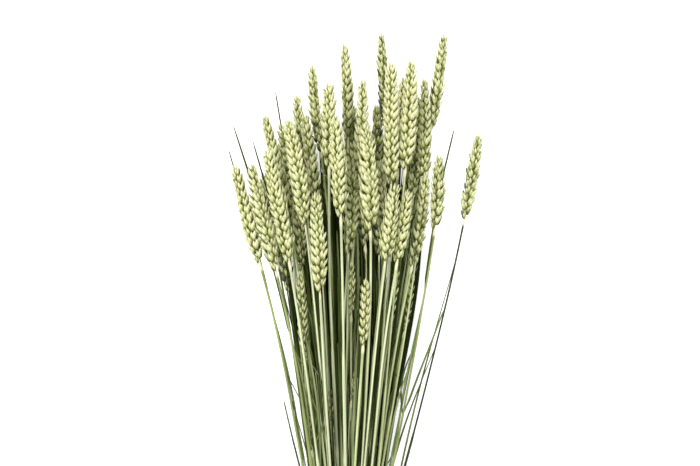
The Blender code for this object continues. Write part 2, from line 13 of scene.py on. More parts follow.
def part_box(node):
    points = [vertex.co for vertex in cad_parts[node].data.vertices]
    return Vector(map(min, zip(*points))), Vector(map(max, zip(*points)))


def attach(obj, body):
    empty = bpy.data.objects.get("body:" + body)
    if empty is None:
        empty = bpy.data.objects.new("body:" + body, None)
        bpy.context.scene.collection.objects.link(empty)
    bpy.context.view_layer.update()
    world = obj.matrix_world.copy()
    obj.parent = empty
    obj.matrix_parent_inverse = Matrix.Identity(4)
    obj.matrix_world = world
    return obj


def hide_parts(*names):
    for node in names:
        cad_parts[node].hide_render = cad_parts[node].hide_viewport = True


bl_info = {
    "name": "Bunch of Wheat Ears",
    "version": (1, 0, 0),
    "blender": (4, 5, 0),
    "location": "View3D > Sidebar > Wheat",
    "description": "Dresses a tied bunch of unripe wheat with scales, stems, leaves and twine",
    "category": "Object",
}

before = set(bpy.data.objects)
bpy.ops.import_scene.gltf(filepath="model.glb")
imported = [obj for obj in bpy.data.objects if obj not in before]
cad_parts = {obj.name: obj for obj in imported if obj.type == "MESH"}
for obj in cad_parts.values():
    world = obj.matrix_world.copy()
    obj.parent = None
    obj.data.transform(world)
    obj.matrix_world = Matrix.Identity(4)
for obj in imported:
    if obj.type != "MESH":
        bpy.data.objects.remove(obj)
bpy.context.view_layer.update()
TIE_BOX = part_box("tie")
STALKS = sorted(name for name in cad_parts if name.startswith("stalk_"))

MM = 0.001

# Stalks up to this number show from above, and those past it lie under them.
LAST_SHOWN = 44

# How the solids are read: slices across the bunch, and what tells an ear from a stem or a blade.
SLICE_STEP = 2.0 * MM
FIRST_SLICE = 0.5 * MM
EAR_LEAST_THICKNESS = 3.05 * MM
STEM_LEAST_WIDTH = 1.7 * MM
ROUND_MOST = 1.6
BLADE_MOST_THICKNESS = 1.4 * MM
BLADE_LEAST_SLICES = 9

# How far a slice of a stem or a blade may lie from where it is expected, how many slices back the stem looks
# for that, and how long a gap ends an ear or a blade.
STEM_REACH = 3 * MM
BLADE_REACH = 5.0 * MM
LOOK_BACK = 6
EAR_ENDED = 3 * SLICE_STEP
EAR_BREAK = 4 * SLICE_STEP
BLADE_BREAK = 6 * SLICE_STEP

# How smooth the line through the slices is, and the least rise that it is carried on with past its ends.
SMOOTHING = 11.0 * MM
LEAST_RISE = 0.2

# How an ear is turned about its axis from stalk to stalk, and the part of it that its width is read from.
EAR_TURN = math.radians(34.0)
EAR_TURN_STEP = 2.4
FULL_PART = (0.15, 0.55)
EAR_REACH = 11 * MM


def linear(hex_colour):
    """An sRGB hex colour as linear red, green, blue and one."""
    channels = [int(hex_colour[start:start + 2], 16) / 255 for start in (1, 3, 5)]
    return tuple(c / 12.92 if c <= 0.04045 else ((c + 0.055) / 1.055) ** 2.4 for c in channels) + (1.0,)


class Strand:
    """A smooth line along the bunch: a stem with its ear, or one leaf blade."""

    def __init__(self, samples, smoothing=SMOOTHING):
        points = np.array([sample[:3] for sample in samples])
        self.low, self.high = points[0, 1], points[-1, 1]
        count = max(4, int((self.high - self.low) / SLICE_STEP) + 1)
        self.heights = np.linspace(self.low, self.high, count)
        self.across = np.empty((count, 2))
        for row, height in enumerate(self.heights):
            distance = points[:, 1] - height
            weight = np.exp(-0.5 * (distance / smoothing) ** 2) + 1e-12
            base = np.stack([np.ones(len(points)), distance], axis=1) * np.sqrt(weight)[:, None]
            for column, axis in enumerate((0, 2)):
                fit = np.linalg.lstsq(base, points[:, axis] * np.sqrt(weight), rcond=None)[0]
                self.across[row, column] = fit[0]

    def at(self, height):
        """The line's place at a height, carried on straight past its ends."""
        inside = min(max(height, self.low), self.high)
        x = np.interp(inside, self.heights, self.across[:, 0])
        z = np.interp(inside, self.heights, self.across[:, 1])
        point = Vector((x, inside, z))
        if inside != height:
            ahead = self.ahead(inside)
            point += ahead * ((height - inside) / max(LEAST_RISE, ahead.y))
        return point

    def ahead(self, height):
        """The direction that the line runs in at a height."""
        reach = 4 * MM
        lower = min(max(height - reach, self.low), self.high - 2 * reach)
        x = np.interp((lower, lower + 2 * reach), self.heights, self.across[:, 0])
        z = np.interp((lower, lower + 2 * reach), self.heights, self.across[:, 1])
        return Vector((x[1] - x[0], 2 * reach, z[1] - z[0])).normalized()


def merged_triangles(node):
    """Corner places and corner numbers of a node's triangles, with loose corners merged on a copy."""
    copy = bmesh.new()
    copy.from_mesh(node.data)
    bmesh.ops.remove_doubles(copy, verts=copy.verts, dist=1e-6)
    copy.verts.index_update()
    corners = np.array([vert.co for vert in copy.verts])
    triangles = np.array([[vert.index for vert in face.verts] for face in copy.faces])
    copy.free()
    return corners, triangles


def loops_at(corners, triangles, height):
    """Where a plane across the bunch cuts a solid: centre, most and least width of each closed loop."""
    above = corners[:, 1][triangles] > height
    crossing = triangles[above.any(axis=1) & ~above.all(axis=1)]
    owner = {}
    points = {}
    for triangle in crossing:
        keys = []
        for a, b in ((0, 1), (1, 2), (2, 0)):
            first, second = sorted((triangle[a], triangle[b]))
            low, high = corners[first], corners[second]
            if (low[1] > height) != (high[1] > height):
                keys.append((first, second))
                share = (height - low[1]) / (high[1] - low[1])
                points[(first, second)] = low + share * (high - low)
        groups = {owner[key] for key in keys if key in owner}
        group = min(groups) if groups else len(points)
        for key, current in list(owner.items()):
            if current in groups:
                owner[key] = group
        for key in keys:
            owner[key] = group
    loops = []
    for group in set(owner.values()):
        rim = np.array([points[key] for key in owner if owner[key] == group])
        middle = (rim.min(axis=0) + rim.max(axis=0)) / 2
        spread = rim[:, (0, 2)] - middle[[0, 2]]
        widths = []
        for turn in range(0, 180, 15):
            direction = np.array([math.cos(math.radians(turn)), math.sin(math.radians(turn))])
            along = spread @ direction
            widths.append(along.max() - along.min())
        loops.append((middle, max(widths), min(widths)))
    return loops


class Stalk:
    """One stalk as its solid gives it: the line of its stem, its ear's ends and width, and its blades."""

    def __init__(self, name):
        self.number = int(name[-2:])
        corners, triangles = merged_triangles(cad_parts[name])
        low, high = corners[:, 1].min(), corners[:, 1].max()
        main, blades, ear = [], [], []
        for height in np.arange(low + FIRST_SLICE, high, SLICE_STEP):
            loops = loops_at(corners, triangles, height)
            expected = self.expected(main, height)
            chosen = None
            for loop in loops:
                middle, most, least = loop
                ended = ear and height - main[-1][1] > EAR_ENDED
                near = expected and math.hypot(middle[0] - expected[0], middle[2] - expected[1]) < STEM_REACH
                is_round = least > STEM_LEAST_WIDTH and most < ROUND_MOST * least
                if not ended and (is_round or (ear and near)) and (chosen is None or least > chosen[2]):
                    chosen = loop
            if chosen is not None:
                main.append(tuple(chosen[0]))
                if chosen[2] > EAR_LEAST_THICKNESS:
                    ear.append(height)
            thin = [loop for loop in loops if loop is not chosen and loop[2] < BLADE_MOST_THICKNESS]
            self.follow(blades, thin)
        self.line = Strand(main)
        self.ear_low = ear[-1]
        for height in reversed(ear):
            if self.ear_low - height > EAR_BREAK:
                break
            self.ear_low = height
        self.ear_high = self.line.high + SLICE_STEP
        self.blades = [blade for blade in blades if len(blade) >= BLADE_LEAST_SLICES]
        self.wide = Vector((math.cos(self.turn()), 0, math.sin(self.turn())))
        self.width = self.ear_width(corners)

    @staticmethod
    def expected(main, height):
        """Where the slices below point to for the stem's middle at a height, as X and Z."""
        if not main:
            return None
        if len(main) < LOOK_BACK:
            return main[-1][0], main[-1][2]
        last, before = main[-1], main[-LOOK_BACK]
        rise = (height - last[1]) / (last[1] - before[1])
        return last[0] + (last[0] - before[0]) * rise, last[2] + (last[2] - before[2]) * rise

    @staticmethod
    def follow(blades, loops):
        """Adds each loop to the blade whose last slice it lies nearest, or starts a new blade."""
        for middle, width, thickness in loops:
            best = None
            for blade in blades:
                last = blade[-1]
                distance = math.hypot(last[0] - middle[0], last[2] - middle[2])
                if middle[1] - last[1] < BLADE_BREAK and distance < BLADE_REACH:
                    if best is None or distance < best[0]:
                        best = (distance, blade)
            row = (middle[0], middle[1], middle[2], width)
            if best:
                best[1].append(row)
            else:
                blades.append([row])

    def turn(self):
        """How far the ear is turned about its axis."""
        return EAR_TURN * math.sin(EAR_TURN_STEP * self.number)

    def ear_width(self, corners):
        """How wide the ear's solid is across its two columns, where it is fullest."""
        length = self.ear_high - self.ear_low
        low, high = [self.ear_low + share * length for share in FULL_PART]
        reach = []
        for corner in corners[(corners[:, 1] > low) & (corners[:, 1] < high)]:
            offset = Vector(corner) - self.line.at(corner[1])
            if offset.length < EAR_REACH:
                reach.append(offset.dot(self.wide))
        return max(reach) - min(reach)

    def ear_frame(self, height):
        """Directions along the ear, across its two columns, and out of its face, at a height."""
        ahead = self.line.ahead(height)
        wide = (self.wide - ahead * self.wide.dot(ahead)).normalized()
        return ahead, wide, ahead.cross(wide)


# The tips of the tallest ears stand free above this roof line, and the leaves end under it. It is level over
# its half width from the middle of the bunch, and falls away beside that.
MIDDLE_X = 5 * MM
ROOF = 262 * MM
ROOF_HALF_WIDTH = 55 * MM
ROOF_SLOPE = 1.3

# How much closer the spikelets stand at the tip of an ear than at its base.
TIP_CROWDING = 0.025


def fullness(along):
    """How full an ear is from its base to its tip."""
    opening = min(1.0, 0.62 + 3.0 * along)
    closing = max(0.0, (along - 0.5) / 0.5) ** 1.4
    return opening * (1 - 0.42 * closing)


def add_layers(shape):
    """Adds what the patterns read: a place on the surface's own pattern, and how dark or light it is, which
    holds painted shade and light as well as the surface's own tone.
    """
    shape.verts.layers.float_vector.new("place")
    shape.verts.layers.float.new("tone")


def keep_mesh(shape, name):
    """Turns a bmesh into a mesh with a name."""
    mesh = bpy.data.meshes.new(name)
    shape.to_mesh(mesh)
    shape.free()
    return mesh


def grain_scale():
    """One boat-shaped scale with a keel and a short point: 1 wide, 1 thick and 1 long from its root."""
    shape = bmesh.new()
    bmesh.ops.create_uvsphere(shape, u_segments=7, v_segments=6, radius=1.0)
    bmesh.ops.rotate(shape, verts=shape.verts, matrix=Matrix.Rotation(math.pi / 2, 3, "Z"))
    add_layers(shape)
    place = shape.verts.layers.float_vector["place"]
    for vert in shape.verts:
        along = (vert.co.z + 1) / 2
        ring = math.hypot(vert.co.x, vert.co.y)
        fat = math.sin(math.pi * min(1.0, along) ** 0.78) ** 0.75 * (1.02 - 0.28 * along)
        x = vert.co.x / ring * fat if ring > 0.01 else 0.0
        y = vert.co.y / ring * fat if ring > 0.01 else 0.0
        keel = max(0.0, 1.0 - abs(x) * 2.2) if y > 0 else 0.0
        y = y * (0.92 + 0.3 * keel) if y > 0 else y * 0.5
        vert[place] = (x, y, along)
        bow = 0.28 * math.sin(math.pi * along) + 0.2 * along ** 3
        vert.co = Vector((x * 0.5, y * 0.5 + bow, along ** 0.94))
    for face in shape.faces:
        face.smooth = True
    bmesh.ops.recalc_face_normals(shape, faces=shape.faces)
    return keep_mesh(shape, "grain_scale")


# The scale that the others are sized from, in mm, for the patterns on it.
SCALE_HALF_WIDTH = 2.4
SCALE_LENGTH = 10.0

# The scales of one spikelet of a 14 mm wide ear. Each row, in mm and degrees: up, out and aside of its root,
# its lean outwards and aside, its length, width and thickness, and how far its keel is turned to the face.
SPIKELET = (
    (0.0, 1.6, 2.2, 22, 6, 10.0, 5.0, 2.9, 62),
    (0.0, 1.6, -2.2, 22, -6, 10.0, 5.0, 2.9, -62),
    (2.2, 2.4, 1.5, 25, 5, 11.2, 5.0, 3.0, 42),
    (2.2, 2.4, -1.5, 25, -5, 11.2, 5.0, 3.0, -42),
    (4.0, 2.1, 0.0, 22, 0, 10.8, 4.6, 3.4, 0),
    (1.8, 0.6, 2.3, 13, 7, 9.8, 4.6, 2.6, 84),
    (1.8, 0.6, -2.3, 13, -7, 9.8, 4.6, 2.6, -84),
)

# The scales of the spikelet that ends an ear, turned a quarter so that it fans across the face.
TIP_SPIKELET = (
    (0.0, 1.0, 1.4, 12, 6, 8.4, 4.4, 3.2, 70),
    (0.0, -1.0, -1.4, -12, -6, 8.4, 4.4, 3.2, -110),
    (0.4, 1.4, -1.2, 15, -6, 8.2, 4.0, 3.2, -50),
    (0.4, -1.4, 1.2, -15, 6, 8.2, 4.0, 3.2, 130),
    (1.6, 0.0, 0.3, 0, 0, 8.2, 4.2, 3.4, 60),
)


# How far a scale strays from its row: its lean and turn, in degrees, and its size and tone.
LEAN_PLAY = 5
TURN_PLAY = 12
SCALE_SIZES = (0.9, 1.08)
SCALE_TONES = (-0.5, 0.5)


def spikelet(scale, rows, draw):
    """A spikelet of overlapping scales: X points out of its side of the ear, Y to the face, Z up the ear."""
    shape = bmesh.new()
    for up, out, aside, lean, tilt, length, width, thickness, turn in rows:
        lean = math.radians(lean + draw.uniform(-LEAN_PLAY, LEAN_PLAY))
        tilt = math.radians(tilt + draw.uniform(-LEAN_PLAY, LEAN_PLAY))
        turn = math.radians(turn + draw.uniform(-TURN_PLAY, TURN_PLAY))
        size = draw.uniform(*SCALE_SIZES)
        point = Vector((math.sin(lean), math.sin(tilt), math.cos(lean))).normalized()
        keel = Vector((math.cos(turn), math.sin(turn), 0))
        keel = (keel - point * keel.dot(point)).normalized()
        side = keel.cross(point)
        turned = Matrix((side, keel, point)).transposed().to_4x4()
        sized = Matrix.Diagonal((width * size, thickness * size, length * size, 1))
        root = Matrix.Translation((out, aside, up))
        stamp(shape, scale, root @ turned @ sized, draw.uniform(*SCALE_TONES))
    return keep_mesh(shape, "spikelet")


def stamp(shape, mesh, matrix, tone, finish=None):
    """Adds a copy of a mesh at a place, with its own tone and finish."""
    before = len(shape.verts)
    faces_before = len(shape.faces)
    shape.from_mesh(mesh)
    shape.verts.ensure_lookup_table()
    added = shape.verts[before:]
    bmesh.ops.transform(shape, matrix=matrix, verts=added)
    layer = shape.verts.layers.float["tone"]
    for vert in added:
        vert[layer] += tone
    if finish is not None:
        shape.faces.ensure_lookup_table()
        for face in shape.faces[faces_before:]:
            face.material_index = finish
    return added


def straight_tube(sides, rings):
    """A straight closed tube of radius 1 and length 1 along Z, with evenly spaced rings."""
    shape = bmesh.new()
    bmesh.ops.create_cone(shape, cap_ends=True, segments=sides, radius1=1.0, radius2=1.0, depth=1.0)
    sides_long = [edge for edge in shape.edges if abs(edge.verts[0].co.z - edge.verts[1].co.z) > 0.5]
    bmesh.ops.subdivide_edges(shape, edges=sides_long, cuts=rings - 2, use_grid_fill=True)
    bmesh.ops.translate(shape, verts=shape.verts, vec=(0, 0, 0.5))
    add_layers(shape)
    for face in shape.faces:
        face.smooth = True
    return keep_mesh(shape, "straight_tube")


# How many different spikelets are made, and the sides and rings of a stem and of a leaf.
SPIKELET_SEED = 7
SPIKELET_KINDS = 8
TIP_KINDS = 3
STEM_MESH = (8, 64)
LEAF_MESH = (6, 26)


class Patterns:
    """The shapes that are made once and used many times."""

    def __init__(self):
        draw = random.Random(SPIKELET_SEED)
        scale = grain_scale()
        self.spikelets = [spikelet(scale, SPIKELET, draw) for _ in range(SPIKELET_KINDS)]
        self.tips = [spikelet(scale, TIP_SPIKELET, draw) for _ in range(TIP_KINDS)]
        self.tube = straight_tube(*STEM_MESH)
        self.ribbon = straight_tube(*LEAF_MESH)
        self.own = [scale, self.tube, self.ribbon] + self.spikelets + self.tips

    def clear(self):
        """Removes the shapes, once every piece holds its own copies."""
        for mesh in self.own:
            bpy.data.meshes.remove(mesh)


# The places of the three materials on a stalk's piece.
STEM_FINISH, SCALE_FINISH, LEAF_FINISH = 0, 1, 2

# The stem. Its sheath ends at a mouth, a share of the way down from the ear, and a joint swells below it by
# a drop in mm. The collar swells below the ear. In the tie, and in the ear, the stem is thin.
MOUTH_SHARES = (0.28, 0.5)
STOUTNESS = (0.85, 1.15)
MOUTH_STEP = 0.55
MOUTH_LENGTH = 6 * MM
JOINT_DROPS = (70, 110)
JOINT_SWELL, JOINT_REACH = 0.35 * MM, 2.5 * MM
COLLAR_DROP, COLLAR_SWELL, COLLAR_REACH = 2.0 * MM, 0.55 * MM, 3.0 * MM
AXIS_RADIUS = 0.9 * MM
AXIS_BELOW_TIP = 9 * MM
TIED_RADIUS = 1.35 * MM
TIED_PAST_TIE = 12 * MM


def grow_stem(shape, patterns, stalk, settings, draw, tone):
    """The stem: a sheath below, the thinner bare stalk above, a pale collar, and the axis inside the ear."""
    line = stalk.line
    low, high = line.low, stalk.ear_high - AXIS_BELOW_TIP
    ear_low = stalk.ear_low
    mouth = ear_low - draw.uniform(*MOUTH_SHARES) * (ear_low - low)
    stout = draw.uniform(*STOUTNESS)
    bare, sheath = stout * settings.bare_width / 2, stout * settings.sheath_width / 2
    joint = mouth - draw.uniform(*JOINT_DROPS) * MM
    added = stamp(shape, patterns.tube, Matrix.Identity(4), tone, STEM_FINISH)
    place = shape.verts.layers.float_vector["place"]
    for vert in added:
        height = low + vert.co.z * (high - low)
        ahead = line.ahead(height)
        side = Vector((1, 0, 0))
        side = (side - ahead * side.dot(ahead)).normalized()
        up = side.cross(ahead)
        radius = bare
        if height < mouth:
            radius = bare + (sheath - bare) * min(1.0, (mouth - height) / MOUTH_LENGTH + MOUTH_STEP)
        radius += JOINT_SWELL * math.exp(-((height - joint) / JOINT_REACH) ** 2)
        radius += COLLAR_SWELL * math.exp(-((height - ear_low + COLLAR_DROP) / COLLAR_REACH) ** 2)
        if height > ear_low:
            radius = AXIS_RADIUS
        if height < TIE_BOX[1][1] + TIED_PAST_TIE:
            radius = min(radius, TIED_RADIUS)
        x, y = vert.co.x, vert.co.y
        below = (ear_low - height) / MM
        vert[place] = (x * radius / MM, y * radius / MM, below)
        vert.co = line.at(height) + (side * x + up * y) * radius


# The ear: where its first and last spikelets stand, the middle of one, the fewest on a side, the width of
# the ear that SPIKELET is for, and how they stray. The lowest two are small.
FIRST_SPIKELET = 0.8 * MM
LAST_BELOW_TIP = 7.5 * MM
SPIKELET_MIDDLE = 5 * MM
LEAST_ON_SIDE = 4
SPIKELET_EAR_WIDTH = 14 * MM
SPIKELET_SIZES = (0.93, 1.07)
SPIKELET_TURN_PLAY = 0.18
SPIKELET_TONES = (-0.14, 0.14)
LOWEST_SIZE = 0.8

# An ear whose tip rises above the roof line gets painted light towards it, as a tip that stands free of the
# others is lit, fully so at this rise.
ROOF_PAINTED_LIGHT = 0.4
ROOF_PAINTED_LIGHT_RISE = 50 * MM


def grow_ear(shape, patterns, stalk, settings, draw, tone):
    """The ear: alternate spikelets up both sides of its axis, small ones at the base, and one at the tip."""
    low, high = stalk.ear_low, stalk.ear_high
    steep = stalk.line.ahead((low + high) / 2).y
    length = (high - low) / steep
    last = length - LAST_BELOW_TIP
    count = 2 * max(LEAST_ON_SIDE, round(last / settings.spikelet_pitch))
    full = stalk.width / SPIKELET_EAR_WIDTH
    # Painted light on a tip that stands free above the roof line.
    tip_painted_light = ROOF_PAINTED_LIGHT * min(1.0, max(0.0, (high - ROOF) / ROOF_PAINTED_LIGHT_RISE))
    for index in range(count + 1):
        step = index / count
        crowded = step + TIP_CROWDING * math.sin(math.pi * step)
        start = FIRST_SPIKELET + (last - FIRST_SPIKELET) * crowded
        along = (start + SPIKELET_MIDDLE) / length
        height = low + start * steep
        ahead, wide, out = stalk.ear_frame(height)
        is_tip = index == count
        flip = 1 if index % 2 else -1
        size = full * fullness(along) * draw.uniform(*SPIKELET_SIZES)
        if index < 2:
            size *= LOWEST_SIZE
        turn = draw.uniform(-SPIKELET_TURN_PLAY, SPIKELET_TURN_PLAY)
        side = (wide * math.cos(turn) + out * math.sin(turn)) * flip
        face = (out * math.cos(turn) - wide * math.sin(turn)) * flip
        mesh = draw.choice(patterns.tips if is_tip else patterns.spikelets)
        turned = Matrix((side, face, ahead)).transposed().to_4x4()
        long = 1.0 if is_tip else 0.5 + 0.5 * size
        sized = Matrix.Diagonal((size * MM, size * MM, long * MM, 1))
        root = Matrix.Translation(stalk.line.at(height))
        # Painted shade and light: each ear is darker towards its base, where it goes under the others, and
        # lighter towards its tip.
        shade = 0.9 * tone + (1.3 * min(tone, 0.3) + tip_painted_light) * step + draw.uniform(*SPIKELET_TONES)
        stamp(shape, mesh, root @ turned @ sized, shade, SCALE_FINISH)


# A leaf's own thickness, from its middle to either face.
LEAF_THICKNESS = 0.22 * MM


def grow_leaf(shape, patterns, points, widths, tone, fold=0.35, twist=0.0):
    """A leaf blade: a thin ribbon folded along its midrib, through the points of its middle line."""
    points = np.array(points)
    steps = np.linspace(0, 1, len(points))
    added = stamp(shape, patterns.ribbon, Matrix.Identity(4), tone, LEAF_FINISH)
    place = shape.verts.layers.float_vector["place"]
    length = float(np.linalg.norm(np.diff(points, axis=0), axis=1).sum())

    def at(share):
        return Vector([np.interp(share, steps, points[:, axis]) for axis in range(3)])

    for vert in added:
        share = vert.co.z
        ahead = (at(min(1.0, share + 0.02)) - at(max(0.0, share - 0.02))).normalized()
        angle = twist * share
        side = Vector((math.cos(angle), 0, math.sin(angle)))
        side = (side - ahead * side.dot(ahead)).normalized()
        up = side.cross(ahead)
        half = float(np.interp(share, steps, widths)) / 2
        x = vert.co.x
        rise = fold * abs(x) * half + vert.co.y * LEAF_THICKNESS * (1 - 0.5 * abs(x))
        vert[place] = (x * half / MM, vert.co.y, share * length / MM)
        vert.co = at(share) + side * x * half + up * rise


# A blade that the solid has. One narrower than the limit has dried rolled up, so it looks slimmer than its
# solid until near the tip. The widths are at its root and at its tip, from the root on.
BLADE_SMOOTHING = 8 * MM
BLADE_POINTS = 24
NARROW_BLADE = 4.4 * MM
ROOT_BELOW_BLADE = 14 * MM
ROOT_WIDTHS = [1.6 * MM, 1.7 * MM]
NEAR_TIP_WIDTH, TIP_WIDTH = 1.6 * MM, 0.9 * MM


def ribbon_from_blade(blade, stalk):
    """Middle line and widths of a blade that the solid has, from its sheath mouth to its tip."""
    strand = Strand(blade, BLADE_SMOOTHING)
    heights = np.linspace(strand.low, strand.high, BLADE_POINTS)
    rows = np.array(blade)
    points = [tuple(strand.at(height)) for height in heights]
    widths = [float(np.interp(height, rows[:, 1], rows[:, 3])) for height in heights]
    if stalk.number <= LAST_SHOWN and max(widths) < NARROW_BLADE:
        shares = np.linspace(0, 1, len(widths))
        widths = [width * (0.62 + 0.38 * share ** 2) for width, share in zip(widths, shares)]
    root = stalk.line.at(strand.low - ROOT_BELOW_BLADE)
    start = [tuple(root), tuple(root.lerp(Vector(points[0]), 0.5))]
    widths = ROOT_WIDTHS + widths
    widths[-1] = TIP_WIDTH
    widths[-2] = min(widths[-2], NEAR_TIP_WIDTH)
    return start + points, widths


# No piece reaches lower than this above the table.
LEAST_Z = 0.25 * MM


def new_piece(name, shape, materials):
    """Turns a bmesh into an object of the scene that rides on the bunch."""
    bmesh.ops.recalc_face_normals(shape, faces=shape.faces)
    for vert in shape.verts:
        if vert.co.z < LEAST_Z:
            vert.co.z = LEAST_Z
    mesh = keep_mesh(shape, name)
    for material in materials:
        mesh.materials.append(material)
    piece = bpy.data.objects.new(name, mesh)
    bpy.context.scene.collection.objects.link(piece)
    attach(piece, "root")
    return piece


def add_node(tree, kind, values=None, links=None, stops=None, **settings):
    """Adds one node with its settings, its socket values, links into its sockets, and a ramp's stops."""
    node = tree.nodes.new(kind)
    for name, value in settings.items():
        setattr(node, name, value)
    for socket, value in (values or {}).items():
        node.inputs[socket].default_value = value
    for socket, source in (links or {}).items():
        tree.links.new(source, node.inputs[socket])
    if stops:
        elements = node.color_ramp.elements
        while len(elements) < len(stops):
            elements.new(0.5)
        for element, (position, colour) in zip(elements, stops):
            element.position = position
            element.color = linear(colour) if isinstance(colour, str) else tuple(colour) + (1.0,)
    return node


def repeats(size, unit=1.0):
    """How often a pattern of a size in mm comes in one unit of its coordinates, which is a number of mm."""
    return unit / size


def new_material(name, roughness, gloss=0.5):
    """A new material with its roughness and gloss, its node tree and its shader."""
    material = bpy.data.materials.new(name)
    material.use_nodes = True
    tree = material.node_tree
    shader = tree.nodes["Principled BSDF"]
    shader.inputs["Roughness"].default_value = roughness
    shader.inputs["IOR"].default_value = 1.45
    shader.inputs["Specular IOR Level"].default_value = gloss
    return material, tree, shader


def drawn_out_noise(tree, place, size, detail=2.0):
    """Noise that is drawn out to a size of its own along each direction of a place."""
    drawn_out = add_node(tree, "ShaderNodeMapping", {"Scale": size}, {"Vector": place}).outputs[0]
    values = {"Scale": 1.0, "Detail": detail}
    return add_node(tree, "ShaderNodeTexNoise", values, {"Vector": drawn_out}).outputs["Fac"]


def tinted(tree, colour, pattern, strength, stops):
    """A colour multiplied by the colours that a pattern takes from a ramp."""
    tint = add_node(tree, "ShaderNodeValToRGB", links={"Fac": pattern}, stops=stops).outputs["Color"]
    links = {6: colour, 7: tint}
    mix = add_node(tree, "ShaderNodeMix", {0: strength}, links, data_type="RGBA", blend_type="MULTIPLY")
    return mix.outputs[2]


def finish_surface(tree, shader, colour, pattern, strength, depth):
    """Gives a shader its colour and raises a pattern on it by a depth."""
    values = {"Strength": strength, "Distance": depth}
    bump = add_node(tree, "ShaderNodeBump", values, {"Height": pattern})
    tree.links.new(bump.outputs["Normal"], shader.inputs["Normal"])
    if colour:
        tree.links.new(colour, shader.inputs["Base Color"])


# Unripe wheat chaff: dry husks, grown with a wax coat, so they are matt, pale at tip and keel, and still
# green where one covers another; towards each scale's root the colour darkens to near black, which is
# painted shade in the grooves between the scales. Its veins are 0.25 mm apart, drawn at 0.8 mm so that they
# show.
def wheat_chaff(settings):
    material, tree, shader = new_material("unripe_wheat_chaff", 0.6, 0.35)
    place = add_node(tree, "ShaderNodeAttribute", attribute_name="place").outputs["Vector"]
    tone = add_node(tree, "ShaderNodeAttribute", attribute_name="tone").outputs["Fac"]
    split = add_node(tree, "ShaderNodeSeparateXYZ", links={0: place})
    bunch_place = add_node(tree, "ShaderNodeTexCoord").outputs["Object"]
    patches = add_node(
        tree, "ShaderNodeTexNoise", {"Scale": repeats(5.0, 1000.0), "Detail": 4.0}, {"Vector": bunch_place}
    )
    vein_size = (repeats(0.8, SCALE_HALF_WIDTH), repeats(1.6, SCALE_HALF_WIDTH), repeats(14.0, SCALE_LENGTH))
    veins = drawn_out_noise(tree, place, vein_size)
    along = add_node(
        tree,
        "ShaderNodeMath",
        {1: 0.4},
        {0: patches.outputs["Fac"], 2: split.outputs["Z"]},
        operation="MULTIPLY_ADD",
    )
    # Darker towards each scale's root: painted shade where one scale covers another, over the scale's own
    # green.
    body = add_node(
        tree,
        "ShaderNodeValToRGB",
        links={"Fac": along.outputs[0]},
        stops=(
            (0.22, settings.groove),
            (0.4, "#737936"),
            (0.58, "#B4B97B"),
            (0.86, settings.pale),
            (1.0, "#E2E1C2"),
        ),
    )
    # Painted shade and light: low tones make ears deep in the bunch and their bases near-black green, high
    # tones make tips that stand free near white.
    tones = ((0.0, "#1C2806"), (0.24, "#84923A"), (0.46, "#EEF0DC"), (1.0, "#FFFCF0"))
    shaded = tinted(tree, body.outputs["Color"], tone, 0.85, tones)
    veined = tinted(tree, shaded, veins, 0.7, ((0.38, "#98A25E"), (0.56, "#FFFFFF")))
    finish_surface(tree, shader, veined, veins, 0.35, 0.3 * MM)
    return material


# Green wheat straw: a hollow stem, grown with a waxy bloom over fine ribs, so it has a soft satin sheen, a
# whitish cast in patches and a cream collar under the ear. The ribs are 0.2 mm apart, drawn at 0.6 mm.
def wheat_straw(settings):
    material, tree, shader = new_material("green_wheat_straw", 0.45, 0.4)
    place = add_node(tree, "ShaderNodeAttribute", attribute_name="place").outputs["Vector"]
    tone = add_node(tree, "ShaderNodeAttribute", attribute_name="tone").outputs["Fac"]
    split = add_node(tree, "ShaderNodeSeparateXYZ", links={0: place})
    ribs = drawn_out_noise(tree, place, (repeats(0.6), repeats(0.6), repeats(80.0)), 3.0)
    bloom = drawn_out_noise(tree, place, (repeats(5.0), repeats(5.0), repeats(80.0)))
    shade = add_node(tree, "ShaderNodeMath", {1: 0.35}, {0: bloom, 2: tone}, operation="MULTIPLY_ADD")
    # Its darkest colours, which low tones take, are painted shade on stems deep in the bunch, far out at the
    # sides and under the others.
    body = add_node(
        tree,
        "ShaderNodeValToRGB",
        links={"Fac": shade.outputs[0]},
        stops=(
            (0.08, "#1E2A06"),
            (0.28, "#5C6C34"),
            (0.5, "#A5B270"),
            (0.75, settings.bloom),
            (1.0, "#D3D8B0"),
        ),
    )
    ribbed = tinted(tree, body.outputs["Color"], ribs, 0.65, ((0.35, "#7E8F56"), (0.55, "#FFFFFF")))
    below_ear = add_node(
        tree, "ShaderNodeMath", {1: repeats(20.0)}, {0: split.outputs["Z"]}, operation="MULTIPLY"
    )
    collar = add_node(
        tree,
        "ShaderNodeValToRGB",
        links={"Fac": below_ear.outputs[0]},
        stops=((0.0, "#FFFFFF"), (0.2, "#FFFFFF"), (0.36, "#000000")),
    )
    topped = add_node(
        tree,
        "ShaderNodeMix",
        {7: linear("#D8D4AC")},
        {0: collar.outputs["Color"], 6: ribbed},
        data_type="RGBA",
    )
    finish_surface(tree, shader, topped.outputs[2], ribs, 0.4, 0.4 * MM)
    return material


